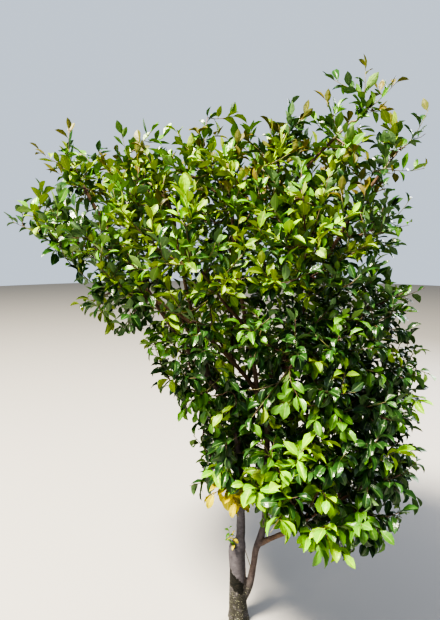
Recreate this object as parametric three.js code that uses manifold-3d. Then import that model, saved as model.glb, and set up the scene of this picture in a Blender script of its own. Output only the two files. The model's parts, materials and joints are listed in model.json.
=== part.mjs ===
// A camellia shrub two metres tall, rooted in the ground, as an assembly of its trunk,
// second stem, boughs and masses of foliage.
// Lengths are in millimetres and +Z is up. The origin is the middle of the flat cut at
// the trunk's foot, and the shrub's front looks along -Y.

import * as THREE from "three";
import { mergeVertices } from "three/addons/utils/BufferGeometryUtils.js";
import Module from "manifold-3d";

const wasm = await Module();
wasm.setup();

const touchGap = 0.3; // between two pieces that meet
const goldenAngle = Math.PI * (3 - Math.sqrt(5));
const up = new THREE.Vector3(0, 0, 1);
const front = new THREE.Vector3(0, -1, 0);

// The trunk was topped once, at shoulderHeight, and a thinner leader grew on from the
// right half of the cut and leans to the left higher up.
const trunk = {
  course: [
    [0, 0, 0],
    [-3, 0, 219],
    [-5, 0, 305],
    [8, 2, 380],
    [4, 5, 614],
    [-12, 10, 776],
    [-62, 22, 915],
    [-156, 40, 1039],
  ],
  waistRadius: 31,
  footSpread: 10,
  footSpreadHeight: 90,
  rootLobes: 5,
  rootLobeDepth: 0.1,
  rootLobeHeight: 120,
  shoulderHeight: 318,
  shoulderLength: 40,
  leaderRadius: 17.5,
  forkRadius: 10.5,
  sides: 10,
  rings: 20,
};

// The second stem leaves the trunk low on its right side.
const secondStem = {
  course: [
    [4, 0, 70],
    [40, -4, 150],
    [57, -8, 240],
    [66, -8, 310],
    [86, -5, 372],
    [101, 0, 450],
    [104, 5, 714],
    [98, 8, 850],
    [67, 10, 925],
  ],
  radii: [20, 15, 12, 12.5, 14, 13, 11, 10, 9.5], // at each point of its course
  sides: 8,
  rings: 16,
};

// Each bough starts on its parent's axis, at a share of the parent's course, or runs on
// from the parent's tip. Its course is a cubic curve: it leaves along "out" and comes to
// "tip" along "arrive". It carries a mass of foliage that grows round the point "middle",
// with its longest shoots to the points in "leads".
const boughs = [
  {
    name: "left_top", from: "trunk", at: 1, radii: [10.5, 6.5],
    out: [-60, 10, 78], arrive: [-45, -5, 110], tip: [-530, 20, 1650],
    middle: [-575, 10, 1760], leads: [[-575, 0, 1874], [-704, 0, 1782]],
  },
  {
    name: "centre", from: "second_stem", at: 1, radii: [9.5, 6.5],
    out: [-8, 2, 118], arrive: [-10, 10, 230], tip: [-28, 10, 1560],
    middle: [-120, 0, 1750], leads: [[-111, 0, 1915], [-18, 0, 1915]],
  },
  {
    name: "diagonal", from: "second_stem", at: 0.97, radii: [8.5, 5.5],
    out: [-30, -4, 80], arrive: [-140, -50, 70], tip: [-290, -110, 1290],
    middle: [-430, -130, 1340], leads: [[-579, 0, 1250], [-461, -40, 1186]],
  },
  {
    name: "right_top", from: "second_stem", at: 0.895, radii: [9.5, 6],
    out: [80, 2, 250], arrive: [190, 0, 245], tip: [478, 0, 1715],
    middle: [545, 0, 1805], leads: [[637, 0, 1940], [641, 0, 1846], [638, 0, 1701]],
  },
  {
    name: "top", from: "centre", at: 0.76, radii: [7.5, 5.5],
    out: [40, 0, 110], arrive: [110, 0, 105], tip: [306, 0, 1815],
    middle: [382, 5, 1890],
    leads: [[407, 0, 2072], [278, 0, 2030], [527, 0, 2011], [251, 0, 1953]],
  },
  {
    name: "upper_left", from: "trunk", at: 0.94, radii: [8, 5.5],
    out: [-30, 5, 120], arrive: [-10, -5, 150], tip: [-228, 25, 1540],
    middle: [-345, 20, 1720], leads: [[-413, 0, 1871], [-290, 0, 1871]],
  },
  {
    name: "upper_right", from: "centre", at: 0.88, radii: [7, 5.5],
    out: [30, 15, 50], arrive: [35, 10, 60], tip: [105, 50, 1610],
    middle: [135, 20, 1780], leads: [[169, 0, 1950]],
  },
  {
    name: "left_tip", from: "left_top", at: 0.62, radii: [7, 5],
    out: [-50, -10, 40], arrive: [-80, -10, 45], tip: [-560, -5, 1475],
    middle: [-650, -10, 1530], leads: [[-808, 0, 1549], [-765, 0, 1610]],
  },
  {
    name: "right", from: "right_top", at: 0.72, radii: [7, 5],
    out: [50, -20, 35], arrive: [60, -10, 20], tip: [400, -40, 1500],
    middle: [500, -30, 1560], leads: [[600, 0, 1648], [602, 0, 1525]],
  },
  {
    name: "right_middle", from: "right_top", at: 0.3, radii: [7.5, 5.5],
    out: [60, -8, 22], arrive: [50, -12, 40], tip: [345, -45, 1165],
    middle: [450, -90, 1290], leads: [[655, -40, 1330]],
  },
  {
    name: "middle_right", from: "right_top", at: 0.2, radii: [7, 5],
    out: [14, -50, 24], arrive: [10, -30, 40], tip: [195, -110, 1075],
    middle: [170, -220, 1140], leads: [[140, -405, 1180]],
  },
  {
    name: "front_right", from: "right_top", at: 0.55, radii: [7, 5],
    out: [0, -50, 40], arrive: [0, -45, 50], tip: [190, -120, 1340],
    middle: [190, -220, 1480], leads: [[190, -415, 1500]],
  },
  {
    name: "front", from: "centre", at: 0.45, radii: [7, 5],
    out: [-20, -50, 40], arrive: [-30, -45, 50], tip: [-75, -115, 1305],
    middle: [-160, -210, 1440], leads: [[-150, -415, 1480]],
  },
  {
    name: "right_low", from: "second_stem", at: 0.815, radii: [8, 5.5],
    out: [60, -5, 30], arrive: [90, -10, 30], tip: [345, -25, 885],
    middle: [470, -60, 980], leads: [[662, 0, 1113], [667, -100, 1043]],
  },
  {
    name: "low_front", from: "second_stem", at: 0.43, radii: [10.5, 6.5],
    out: [35, -20, 28], arrive: [34, -50, 50], tip: [200, -175, 520],
    middle: [150, -260, 690], leads: [[238, -390, 528], [60, -430, 650]],
  },
  {
    name: "low_right", from: "low_front", at: 0.5, radii: [7.5, 5.5],
    out: [50, -10, 22], arrive: [50, -20, 40], tip: [320, -140, 585],
    middle: [430, -180, 690], leads: [[457, -300, 515], [608, -200, 634]],
  },
  {
    name: "low_left", from: "trunk", at: 0.575, radii: [7.5, 5],
    out: [-24, -30, 24], arrive: [-24, -24, 36], tip: [-52, -70, 615],
    middle: [-70, -110, 720], leads: [[-202, -50, 583], [-189, 0, 792]],
  },
  {
    name: "middle_left", from: "trunk", at: 0.8, radii: [8, 5.5],
    out: [-30, -30, 30], arrive: [-20, -24, 40], tip: [-120, -60, 935],
    middle: [-170, -110, 1060], leads: [[-296, 0, 953]],
  },
  {
    name: "back_left", from: "trunk", at: 0.955, radii: [9, 6],
    out: [-20, 60, 60], arrive: [-60, 60, 110], tip: [-290, 230, 1310],
    middle: [-370, 290, 1450], leads: [[-560, 330, 1500], [-380, 535, 1460]],
  },
  {
    name: "back_top", from: "trunk", at: 0.76, radii: [10, 6],
    out: [6, 90, 110], arrive: [0, 30, 220], tip: [-30, 245, 1450],
    middle: [-50, 310, 1640], leads: [[-60, 320, 1860], [-40, 510, 1640]],
  },
  {
    name: "back_middle", from: "back_top", at: 0.4, radii: [7, 5],
    out: [-25, 40, 30], arrive: [-30, 30, 40], tip: [-80, 225, 1085],
    middle: [-110, 300, 1180], leads: [[-100, 540, 1200]],
  },
  {
    name: "back_right", from: "second_stem", at: 0.93, radii: [9, 6],
    out: [20, 80, 80], arrive: [40, 30, 170], tip: [285, 235, 1385],
    middle: [320, 310, 1560], leads: [[380, 300, 1790], [330, 525, 1560]],
  },
  {
    name: "back_low_right", from: "back_right", at: 0.32, radii: [7, 5],
    out: [40, 30, 20], arrive: [40, 25, 30], tip: [275, 200, 1040],
    middle: [350, 280, 1100], leads: [[575, 290, 1120], [360, 530, 1080]],
  },
  {
    name: "back_low", from: "second_stem", at: 0.65, radii: [8, 5.5],
    out: [10, 40, 30], arrive: [10, 40, 30], tip: [140, 135, 650],
    middle: [170, 240, 740], leads: [[340, 340, 700], [170, 440, 740]],
  },
];
const boughSides = 5;
const boughRings = 6;

// The crown's outline: at each height, how far it goes to the left, right, front and back.
const crown = {
  rows: [
    [495, 10, 475, -420, 280],
    [530, -160, 520, -440, 350],
    [583, -215, 600, -450, 390],
    [634, -215, 620, -455, 420],
    [792, -205, 650, -440, 470],
    [953, -315, 675, -435, 520],
    [1113, -420, 680, -435, 555],
    [1250, -600, 670, -440, 565],
    [1400, -675, 655, -440, 565],
    [1549, -826, 630, -440, 550],
    [1620, -795, 630, -420, 540],
    [1740, -725, 652, -360, 480],
    [1846, -715, 658, -300, 400],
    [1880, -640, 658, -270, 360],
    [1925, -240, 656, -230, 300],
    [1960, 60, 652, -190, 240],
    [2015, 255, 545, -140, 160],
    [2082, 310, 490, -80, 80],
  ],
  roundness: 2.4, // 2 makes each level an ellipse, more fills its corners
};

// A mass is a stem with shoots that branch from it and from each other. Leaves stand in a
// spiral along each shoot. Here a leaf stands for a small spray, so it is larger than life.
const foliage = {
  shootsPerMass: 6,
  candidates: 300, // places tried for the ends of a mass's shoots
  reach: 330, // how far from its middle, along each axis, they are tried
  shortestShoot: 60,
  stemReach: 0.8, // of the way from the bough's tip to the middle of the mass
  stemEndRadius: 4.2,
  shootRadius: 2.9,
  shootEndRadius: 2.3,
  ringSpacing: 130,
  leafLength: 165,
  leafWidth: 92,
  leafKeel: 6, // depth of the fold along the middle, where the leaf is thickest
  endLeafLength: 90,
  leavesPerShoot: 6,
  firstLeafAt: 0.12,
  leafSizes: [1, 0.85, 0.7], // tried in turn until a leaf has room
  leafTurns: [0, 0.8, -0.8, 1.6],
  leafSpread: 0.95, // radians between a side leaf and its shoot
  lift: [-0.6, 0.4], // leaves droop low in the crown and stand up at its top
  liftHeights: [1150, 1750],
  faceOut: 1, // how far a leaf's face turns away from the crown's middle, and up
  faceUp: 0.4,
  crownAxis: [-40, 0],
  margin: 2.5, // to the faces of its space and to the limbs
};

const materials = {
  trunk: new THREE.MeshStandardMaterial({ color: 0x8c8377, roughness: 0.85, metalness: 0 }),
  bough: new THREE.MeshStandardMaterial({ color: 0x6f5242, roughness: 0.8, metalness: 0 }),
  leaves: new THREE.MeshStandardMaterial({ color: 0x3f7a22, roughness: 0.4, metalness: 0 }),
};

const vector = (xyz) => new THREE.Vector3(...xyz);

// A repeatable source of numbers from 0 to 1.
function seededRandom(seed) {
  let state = seed >>> 0;
  return () => {
    state = (state + 0x6d2b79f5) >>> 0;
    let mixed = Math.imul(state ^ (state >>> 15), 1 | state);
    mixed = (mixed + Math.imul(mixed ^ (mixed >>> 7), 61 | mixed)) ^ mixed;
    return ((mixed ^ (mixed >>> 14)) >>> 0) / 4294967296;
  };
}

// The index-th of an even scatter of numbers from 0 to 1.
function evenScatter(index, base) {
  let value = 0;
  let share = 1 / base;
  for (let left = index; left > 0; left = Math.floor(left / base)) {
    value += (left % base) * share;
    share /= base;
  }
  return value;
}

// Centres and directions of a curve's rings, with sides carried along it without twist.
function ringFrames(curve, rings, startDirection) {
  const frames = [];
  let side = null;
  for (let i = 0; i <= rings; i++) {
    const along = i === 0 && startDirection ? startDirection : curve.getTangent(i / rings);
    side ??= new THREE.Vector3(0, Math.abs(along.y) > 0.9 ? 0 : 1, Math.abs(along.y) > 0.9 ? 1 : 0);
    side = side.clone().addScaledVector(along, -side.dot(along)).normalize();
    frames.push({
      centre: curve.getPoint(i / rings),
      along,
      side,
      across: new THREE.Vector3().crossVectors(along, side),
    });
  }
  return frames;
}

// A closed cylinder bent along a curve. radiusAt gives its radius at a ring's share of
// the course, its centre and an angle round it. grow makes it thicker and longer.
function bentCylinder({ curve, radiusAt, sides, rings, startDirection }, grow = 0) {
  const geometry = new THREE.CylinderGeometry(1, 1, 1, sides, rings);
  const frames = ringFrames(curve, rings, startDirection);
  const position = geometry.attributes.position;
  const point = new THREE.Vector3();
  for (let i = 0; i < position.count; i++) {
    const share = position.getY(i) + 0.5;
    const ring = Math.round(share * rings);
    const { centre, along, side, across } = frames[ring];
    const x = position.getX(i);
    const z = position.getZ(i);
    const radius = Math.hypot(x, z) > 0.5 ? radiusAt(share, centre, Math.atan2(x, z)) + grow : 0;
    const end = ring === 0 ? -grow : ring === rings ? grow : 0;
    point.copy(centre).addScaledVector(along, end);
    point.addScaledVector(side, z * radius).addScaledVector(across, x * radius);
    position.setXYZ(i, point.x, point.y, point.z);
  }
  return solidOf(geometry);
}

function solidOf(geometry) {
  const bare = new THREE.BufferGeometry()
    .setAttribute("position", geometry.attributes.position)
    .setIndex(geometry.index);
  const merged = mergeVertices(bare, 1e-4);
  return new wasm.Manifold(
    new wasm.Mesh({
      numProp: 3,
      vertProperties: merged.attributes.position.array,
      triVerts: new Uint32Array(merged.index.array),
    }),
  );
}

function largestBody(solid) {
  return solid.decompose().reduce((best, body) => (body.volume() > best.volume() ? body : best));
}

function meshOf(solid, name, material) {
  const { vertProperties, triVerts } = solid.getMesh();
  const geometry = new THREE.BufferGeometry()
    .setAttribute("position", new THREE.BufferAttribute(vertProperties, 3))
    .setIndex(new THREE.BufferAttribute(triVerts, 1));
  const mesh = new THREE.Mesh(geometry, material);
  mesh.name = name;
  return mesh;
}

function courseCurve(points) {
  return new THREE.CatmullRomCurve3(points.map(vector), false, "catmullrom", 0.5);
}

function trunkLimb() {
  const { smoothstep, lerp } = THREE.MathUtils;
  const { shoulderHeight, shoulderLength, rootLobes, rootLobeDepth, rootLobeHeight } = trunk;
  const top = trunk.course.at(-1)[2];
  const radiusAt = (share, { z }, angle) => {
    const low = trunk.waistRadius + trunk.footSpread * Math.exp(-z / trunk.footSpreadHeight);
    const aboveShoulder = Math.max(0, z - shoulderHeight) / (top - shoulderHeight);
    const high = lerp(trunk.leaderRadius, trunk.forkRadius, aboveShoulder);
    const radius = lerp(low, high, smoothstep(z, shoulderHeight, shoulderHeight + shoulderLength));
    const lobes = rootLobeDepth * Math.max(0, 1 - z / rootLobeHeight) ** 2;
    return radius * (1 + lobes * Math.cos(rootLobes * angle));
  };
  const curve = courseCurve(trunk.course);
  return { name: "trunk", curve, radiusAt, sides: trunk.sides, rings: trunk.rings, startDirection: up };
}

function secondStemLimb() {
  const { course, radii, sides, rings } = secondStem;
  const radiusAt = (share) => {
    const step = Math.min(Math.floor(share * (radii.length - 1)), radii.length - 2);
    return THREE.MathUtils.lerp(radii[step], radii[step + 1], share * (radii.length - 1) - step);
  };
  return { name: "second_stem", curve: courseCurve(course), radiusAt, sides, rings };
}

function boughLimb(bough, parent) {
  const runsOn = bough.at === 1;
  const direction = parent.curve.getTangent(bough.at);
  const start = parent.curve.getPoint(bough.at);
  if (runsOn) start.addScaledVector(direction, touchGap);
  const tip = vector(bough.tip);
  const curve = new THREE.CubicBezierCurve3(
    start, start.clone().add(vector(bough.out)), tip.clone().sub(vector(bough.arrive)), tip);
  const radiusAt = (share) => THREE.MathUtils.lerp(...bough.radii, share);
  return {
    name: "bough_" + bough.name,
    curve,
    radiusAt,
    sides: boughSides,
    rings: boughRings,
    startDirection: runsOn ? direction : undefined,
  };
}

// Limbs in the order that they grew: each is cut back from those before it.
function growLimbs() {
  const limbs = new Map();
  const add = (key, limb) => {
    let solid = bentCylinder(limb);
    for (const earlier of limbs.values()) solid = solid.subtract(earlier.grown);
    limbs.set(key, { ...limb, solid: largestBody(solid), grown: bentCylinder(limb, touchGap) });
  };
  add("trunk", trunkLimb());
  add("second_stem", secondStemLimb());
  for (const bough of boughs) add(bough.name, boughLimb(bough, limbs.get(bough.from)));
  return limbs;
}

// A mass keeps to its own space: the points that are nearer to its middle than to any
// other's, beyond flat faces halfway between them.
function spaceOf(middle) {
  const others = boughs.map((bough) => bough.middle).filter((other) => other !== middle);
  return others.map((other) => {
    const inward = vector(middle).sub(vector(other)).normalize();
    const halfway = vector(middle).lerp(vector(other), 0.5);
    return new THREE.Plane().setFromNormalAndCoplanarPoint(inward, halfway);
  });
}

function isInCrown({ x, y, z }) {
  const { rows, roundness } = crown;
  const above = rows.findIndex(([height]) => height >= z);
  if (above < 1) return false;
  const share = (z - rows[above - 1][0]) / (rows[above][0] - rows[above - 1][0]);
  const [, left, right, near, far] = rows[above].map((value, i) =>
    THREE.MathUtils.lerp(rows[above - 1][i], value, share));
  const across = Math.abs(2 * x - left - right) / (right - left);
  const deep = Math.abs(2 * y - near - far) / (far - near);
  return across ** roundness + deep ** roundness <= 1;
}

function isInSpace(space, point, margin) {
  return space.every((face) => face.distanceToPoint(point) > margin);
}

// Where the shoots of a mass end: first at its leads, then always at the candidate that
// is farthest from the ends before it.
function shootEnds({ middle, leads }, space, order) {
  const ends = leads.map(vector);
  const candidates = [];
  for (let i = 1; i <= foliage.candidates; i++) {
    const place = [2, 3, 5].map((base) => 2 * evenScatter(i + 31 * order, base) - 1);
    const end = vector(place.map((value, axis) => middle[axis] + foliage.reach * value));
    if (isInCrown(end) && isInSpace(space, end, foliage.margin)) candidates.push(end);
  }
  const room = (point) => Math.min(...ends.map((end) => end.distanceTo(point)));
  while (ends.length < foliage.shootsPerMass && candidates.length > 0) {
    const widest = candidates.reduce((best, point) => (room(point) > room(best) ? point : best));
    ends.push(...candidates.splice(candidates.indexOf(widest), 1));
  }
  return ends;
}

// The joint that is cheapest to reach: near, not far along its twig, and with no sharp turn.
function bestJoint(joints, end) {
  const cost = ({ point, along, pathLength }) => {
    const towards = end.clone().sub(point);
    const turn = 1 - towards.dot(along) / towards.length();
    return towards.length() * (1 + 0.8 * turn) + 0.15 * pathLength;
  };
  return joints.reduce((best, joint) => (cost(joint) < cost(best) ? joint : best));
}

// A shoot's course, which starts along its parent and stops a last leaf short of its end.
function shootCurve(joint, end) {
  const towards = end.clone().sub(joint.point);
  const length = Math.max(towards.length() - foliage.endLeafLength, foliage.shortestShoot);
  towards.normalize();
  const bend = joint.along.clone().multiplyScalar(0.45).addScaledVector(towards, 0.55).normalize();
  return new THREE.QuadraticBezierCurve3(
    joint.point,
    joint.point.clone().addScaledVector(bend, length * 0.45),
    joint.point.clone().addScaledVector(towards, length));
}

function jointsAlong(curve, rings, pathLength) {
  return Array.from({ length: rings }, (_, i) => ({
    point: curve.getPoint((i + 1) / rings),
    along: curve.getTangent((i + 1) / rings),
    pathLength: pathLength + (curve.getLength() * (i + 1)) / rings,
  }));
}

// A side leaf leans out from its shoot, and droops low in the crown and rises at its top.
function sideDirection(base, along, turn) {
  const { leafSpread, lift, liftHeights } = foliage;
  const side = new THREE.Vector3().crossVectors(along, Math.abs(along.z) > 0.95 ? front : up);
  side.normalize().applyAxisAngle(along, turn);
  const out = along.clone().multiplyScalar(Math.cos(leafSpread));
  out.addScaledVector(side, Math.sin(leafSpread));
  out.z += THREE.MathUtils.lerp(...lift, THREE.MathUtils.smoothstep(base.z, ...liftHeights));
  return out.normalize();
}

// A leaf's corners: its tip, base, left and right. It faces away from the crown's middle
// and up, and tilts to one side.
function leafCorners({ base, tip, width, tilt }) {
  const { crownAxis, faceOut, faceUp, leafKeel } = foliage;
  const out = tip.clone().sub(base).normalize();
  const face = new THREE.Vector3(base.x - crownAxis[0], base.y - crownAxis[1], 0);
  face.setLength(faceOut).addScaledVector(up, faceUp);
  face.addScaledVector(out, -face.dot(out)).normalize().applyAxisAngle(out, tilt);
  const across = new THREE.Vector3().crossVectors(face, out).multiplyScalar(width / 2);
  const middle = base.clone().lerp(tip, 0.46).addScaledVector(face, leafKeel);
  return [tip, base, middle.clone().add(across), middle.clone().sub(across)];
}

// A tetrahedron drawn out to the leaf's corners, with a fold along its middle.
function leafSolid(corners) {
  const geometry = new THREE.TetrahedronGeometry(1);
  const position = geometry.attributes.position;
  for (let i = 0; i < position.count; i++) {
    const isUpper = position.getZ(i) > 0;
    const isFirst = position.getX(i) > 0;
    const corner = corners[(isUpper ? 0 : 2) + (isFirst ? 0 : 1)];
    position.setXYZ(i, corner.x, corner.y, corner.z);
  }
  return solidOf(geometry);
}

function twigSolid(curve, startRadius, endRadius, startDirection) {
  const rings = Math.max(2, Math.round(curve.getLength() / foliage.ringSpacing));
  const radiusAt = (share) => THREE.MathUtils.lerp(startRadius, endRadius, share);
  return bentCylinder({ curve, radiusAt, sides: 3, rings, startDirection });
}

// A mass's stem runs on from its bough's tip.
function stemCurve(limb, middle) {
  const direction = limb.curve.getTangent(1);
  const start = limb.curve.getPoint(1).addScaledVector(direction, touchGap);
  const end = start.clone().lerp(vector(middle), foliage.stemReach);
  const bend = start.clone().addScaledVector(direction, start.distanceTo(end) * 0.5);
  return new THREE.QuadraticBezierCurve3(start, bend, end);
}

// The leaves of one shoot: one that runs on to its end, then others back along it. A leaf
// that has no room is turned and made smaller, and at last left out.
function leavesOf(curve, end, random, hasRoom) {
  const { leavesPerShoot, firstLeafAt, leafSizes, leafTurns, leafLength, leafWidth } = foliage;
  const poses = leafSizes.flatMap((size) => leafTurns.map((turn) => ({ size, turn })));
  const leaves = [];
  const firstTurn = random() * 2 * Math.PI;
  for (let i = 0; i < leavesPerShoot; i++) {
    const share = 1 - (i * (1 - firstLeafAt)) / (leavesPerShoot - 1);
    const base = curve.getPoint(share);
    const tilt = 1.2 * random() - 0.6;
    for (const { size, turn } of poses) {
      const roundShoot = firstTurn + i * goldenAngle + turn;
      const out = sideDirection(base, curve.getTangent(share), roundShoot);
      const tip = out.multiplyScalar(leafLength * size).add(base);
      const corners = i === 0
        ? leafCorners({ base, tip: end, width: 0.6 * leafWidth * size ** 2, tilt: tilt + turn })
        : leafCorners({ base, tip, width: leafWidth * size, tilt });
      const leaf = leafSolid(corners);
      if (!hasRoom(corners, [leaf, ...leaves])) continue;
      leaves.push(leaf);
      break;
    }
  }
  return leaves;
}

// One mass, fused into one body.
function growMass(bough, limb, keepOut, order) {
  const space = spaceOf(bough.middle);
  const random = seededRandom(1000 + order);
  const stem = stemCurve(limb, bough.middle);
  const twigs = [twigSolid(stem, bough.radii[1], foliage.stemEndRadius, limb.curve.getTangent(1))];
  const joints = jointsAlong(stem, 3, 0);
  const leaves = [];
  const hasRoom = (corners, [leaf, ...sisters]) =>
    corners.every((corner) => isInCrown(corner) && isInSpace(space, corner, foliage.margin)) &&
    isClear(leaf, [keepOut, ...leaves, ...sisters]);

  for (const end of shootEnds(bough, space, order)) {
    const joint = bestJoint(joints, end);
    const curve = shootCurve(joint, end);
    const twig = twigSolid(curve, foliage.shootRadius, foliage.shootEndRadius);
    const inside = curve.getPoints(8).every((point) => isInSpace(space, point, 2 * foliage.margin));
    if (!inside || !isClear(twig, [keepOut])) continue;
    twigs.push(twig);
    joints.push(...jointsAlong(curve, 4, joint.pathLength));
    leaves.push(...leavesOf(curve, end, random, hasRoom));
  }
  return largestBody(wasm.Manifold.union([...twigs, ...leaves]));
}

function isClear(solid, others) {
  return others.every((other) => other.intersect(solid).isEmpty());
}

const limbs = growLimbs();
const keepOut = wasm.Manifold.union(
  [...limbs.values()].map((limb) => bentCylinder(limb, foliage.margin)));

const shrub = new THREE.Group();
shrub.name = "camellia_shrub";
for (const [key, { solid, name }] of limbs) {
  const isStem = key === "trunk" || key === "second_stem";
  shrub.add(meshOf(solid, name, isStem ? materials.trunk : materials.bough));
}
boughs.forEach((bough, order) => {
  const solid = growMass(bough, limbs.get(bough.name), keepOut, order);
  shrub.add(meshOf(solid, "leaves_" + bough.name, materials.leaves));
});

export default shrub;
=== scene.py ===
# A camellia shrub two metres tall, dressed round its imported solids. Lengths are in metres.
import json
import math
import random

import bmesh
import bpy
import numpy as np
from mathutils import Matrix, Vector, kdtree, noise
from mathutils.geometry import interpolate_bezier

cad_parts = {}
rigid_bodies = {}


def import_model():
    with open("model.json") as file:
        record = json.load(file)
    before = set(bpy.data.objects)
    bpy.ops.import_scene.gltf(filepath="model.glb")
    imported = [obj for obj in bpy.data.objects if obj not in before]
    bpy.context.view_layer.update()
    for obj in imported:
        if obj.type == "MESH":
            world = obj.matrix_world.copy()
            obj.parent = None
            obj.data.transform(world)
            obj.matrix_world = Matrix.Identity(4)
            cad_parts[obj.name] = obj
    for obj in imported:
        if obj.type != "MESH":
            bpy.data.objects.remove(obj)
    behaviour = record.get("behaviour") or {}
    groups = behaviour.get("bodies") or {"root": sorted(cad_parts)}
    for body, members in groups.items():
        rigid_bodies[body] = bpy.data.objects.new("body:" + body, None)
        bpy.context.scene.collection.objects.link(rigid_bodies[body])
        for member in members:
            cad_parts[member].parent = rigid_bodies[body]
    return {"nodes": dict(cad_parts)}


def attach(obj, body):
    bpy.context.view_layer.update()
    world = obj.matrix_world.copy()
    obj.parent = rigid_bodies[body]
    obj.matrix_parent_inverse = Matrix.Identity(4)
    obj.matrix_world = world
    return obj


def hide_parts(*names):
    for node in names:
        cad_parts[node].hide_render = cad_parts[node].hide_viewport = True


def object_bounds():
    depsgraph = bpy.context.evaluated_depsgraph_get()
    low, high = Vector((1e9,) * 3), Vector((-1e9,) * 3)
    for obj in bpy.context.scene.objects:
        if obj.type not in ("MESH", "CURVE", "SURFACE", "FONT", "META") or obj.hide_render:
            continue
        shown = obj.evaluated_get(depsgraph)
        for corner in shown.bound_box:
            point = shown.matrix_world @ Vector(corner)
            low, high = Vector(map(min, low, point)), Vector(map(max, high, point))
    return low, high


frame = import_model()
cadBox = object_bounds()
print("frame loaded:", len(frame["nodes"]), "nodes", flush=True)

# The trunk was topped once at its shoulder. A thinner leader grew on from the right half
# of that cut and leans to the left higher up.
trunk = dict(
    course=[(0, 0, 0), (-0.003, 0, 0.219), (-0.005, 0, 0.305), (0.008, 0.002, 0.38),
            (0.004, 0.005, 0.614), (-0.012, 0.01, 0.776), (-0.062, 0.022, 0.915),
            (-0.156, 0.04, 1.039)],
    waistRadius=0.031, footSpread=0.010, footSpreadHeight=0.09,
    shoulderHeight=0.318, shoulderLength=0.04, leaderRadius=0.0175, forkRadius=0.0105,
)
secondStem = dict(
    course=[(0.004, 0, 0.07), (0.04, -0.004, 0.15), (0.057, -0.008, 0.24),
            (0.066, -0.008, 0.31), (0.086, -0.005, 0.372), (0.101, 0, 0.45),
            (0.104, 0.005, 0.714), (0.098, 0.008, 0.85), (0.067, 0.01, 0.925)],
    radii=[0.020, 0.015, 0.012, 0.0125, 0.014, 0.013, 0.011, 0.010, 0.0095],
)

# The photograph's camera: its place, tilt and lens.
view = dict(place=(-0.071, -1.625, 1.5), tilt=9.1, lens=27.06)

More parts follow.
